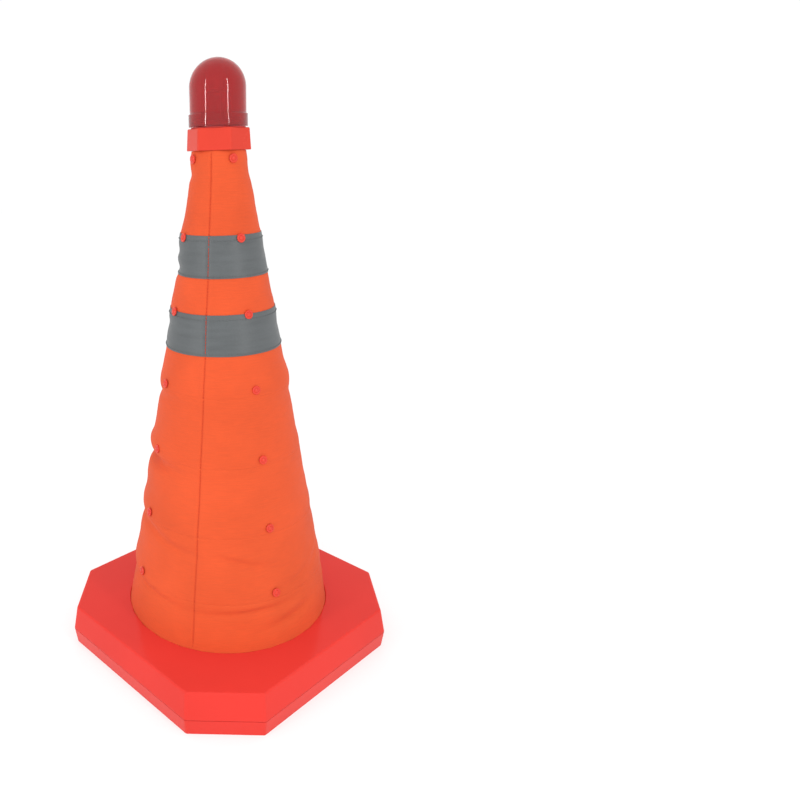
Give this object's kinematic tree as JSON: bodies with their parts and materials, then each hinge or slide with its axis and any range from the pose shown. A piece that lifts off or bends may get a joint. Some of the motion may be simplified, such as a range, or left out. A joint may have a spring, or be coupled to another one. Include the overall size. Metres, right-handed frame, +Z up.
{
  "type": "traffic cone",
  "caption": "Collapsible fabric traffic cone on an octagonal base, with reflective bands, riveted hoops and a red warning lamp; it pushes down flat into its base.",
  "frame": {"origin": "middle of the base's underside, on the ground", "axes": "+Z up along the cone's axis; +X and +Y square to the long sides of the octagonal base, so its cut corners lie on the diagonals"},
  "size_m": [0.336, 0.336, 0.697],
  "materials": {
    "base_plastic": "moulded orange-red plastic, fairly glossy",
    "collar_plastic": "moulded orange-red plastic",
    "hoop_plastic": "orange plastic",
    "rivet_plastic": "orange-red plastic",
    "sleeve_cloth": "orange woven polyester",
    "reflective_cloth": "grey reflective tape, satin",
    "spring_steel": "plain spring wire",
    "screw_steel": "zinc-plated",
    "lens_plastic": "clear red polycarbonate",
    "lamp_plastic": "dark red plastic",
    "cell_sleeve": "printed steel can, plain",
    "contact_metal": "plain brass",
    "board": "green circuit board",
    "led_plastic": "red-tinted epoxy",
    "seal_rubber": "dark red rubber"
  },
  "bodies": {
    "base": {"base_shell": "base_plastic", "base_tray": "base_plastic", "base_screws": "screw_steel", "hem_ring": "hoop_plastic", "catch_ring": "hoop_plastic", "main_spring": "spring_steel", "sleeve_panel_1": "sleeve_cloth"},
    "stage_1": {"hoop_1": "hoop_plastic", "hoop_1_rivets": "rivet_plastic", "sleeve_panel_2": "sleeve_cloth"},
    "stage_2": {"hoop_2": "hoop_plastic", "hoop_2_rivets": "rivet_plastic", "sleeve_panel_3": "sleeve_cloth"},
    "stage_3": {"hoop_3": "hoop_plastic", "hoop_3_rivets": "rivet_plastic", "sleeve_panel_4": "sleeve_cloth"},
    "stage_4": {"hoop_4": "hoop_plastic", "hoop_4_rivets": "rivet_plastic", "sleeve_panel_5": "sleeve_cloth", "lower_band": "reflective_cloth"},
    "stage_5": {"hoop_5": "hoop_plastic", "hoop_5_rivets": "rivet_plastic", "sleeve_panel_6": "sleeve_cloth", "upper_band": "reflective_cloth"},
    "stage_6": {"hoop_6": "hoop_plastic", "hoop_6_rivets": "rivet_plastic", "sleeve_panel_7": "sleeve_cloth"},
    "head": {"collar": "collar_plastic", "collar_neck": "hoop_plastic", "spring_seat": "hoop_plastic", "collar_rivets": "rivet_plastic", "lamp_base": "lamp_plastic", "battery_holder": "lamp_plastic", "batteries": "cell_sleeve", "battery_contacts": "contact_metal", "led_board": "board", "leds": "led_plastic", "switch_leaf": "contact_metal", "lens_seal": "seal_rubber"},
    "lamp_cover": {"lens": "lens_plastic"}
  },
  "joints": [
    {"name": "hoop_1_slide", "type": "slide", "parent": "base", "child": "stage_1", "axis": [0, 0, 1], "range_m": [-0.082, 0], "stiffness_N_per_m": 60, "springref_m": 0.16, "deforming": ["main_spring", "sleeve_panel_1"]},
    {"name": "hoop_2_slide", "type": "slide", "parent": "stage_1", "child": "stage_2", "axis": [0, 0, 1], "range_m": [-0.075, 0], "stiffness_N_per_m": 60, "springref_m": 0.16, "deforming": ["sleeve_panel_2"]},
    {"name": "hoop_3_slide", "type": "slide", "parent": "stage_2", "child": "stage_3", "axis": [0, 0, 1], "range_m": [-0.078, 0], "stiffness_N_per_m": 60, "springref_m": 0.16, "deforming": ["sleeve_panel_3"]},
    {"name": "hoop_4_slide", "type": "slide", "parent": "stage_3", "child": "stage_4", "axis": [0, 0, 1], "range_m": [-0.078, 0], "stiffness_N_per_m": 60, "springref_m": 0.16, "deforming": ["sleeve_panel_4"]},
    {"name": "hoop_5_slide", "type": "slide", "parent": "stage_4", "child": "stage_5", "axis": [0, 0, 1], "range_m": [-0.083, 0], "stiffness_N_per_m": 60, "springref_m": 0.16, "deforming": ["sleeve_panel_5", "lower_band"]},
    {"name": "hoop_6_slide", "type": "slide", "parent": "stage_5", "child": "stage_6", "axis": [0, 0, 1], "range_m": [-0.082, 0], "stiffness_N_per_m": 60, "springref_m": 0.16, "deforming": ["sleeve_panel_6", "upper_band"]},
    {"name": "head_slide", "type": "slide", "parent": "stage_6", "child": "head", "axis": [0, 0, 1], "range_m": [-0.0973, 0], "stiffness_N_per_m": 60, "springref_m": 0.16, "deforming": ["sleeve_panel_7"]},
    {"name": "lens_twist", "type": "hinge", "parent": "head", "child": "lamp_cover", "pos_m": [0, 0, 0.64], "axis": [0, 0, 1], "range_deg": [0, 30]}
  ],
  "couplings": [
    {"joint": "hoop_2_slide", "follows": "hoop_1_slide", "ratio": 0.91463},
    {"joint": "hoop_3_slide", "follows": "hoop_1_slide", "ratio": 0.95122},
    {"joint": "hoop_4_slide", "follows": "hoop_1_slide", "ratio": 0.95122},
    {"joint": "hoop_5_slide", "follows": "hoop_1_slide", "ratio": 1.0122},
    {"joint": "hoop_6_slide", "follows": "hoop_1_slide", "ratio": 1},
    {"joint": "head_slide", "follows": "hoop_1_slide", "ratio": 1.1866}
  ]
}
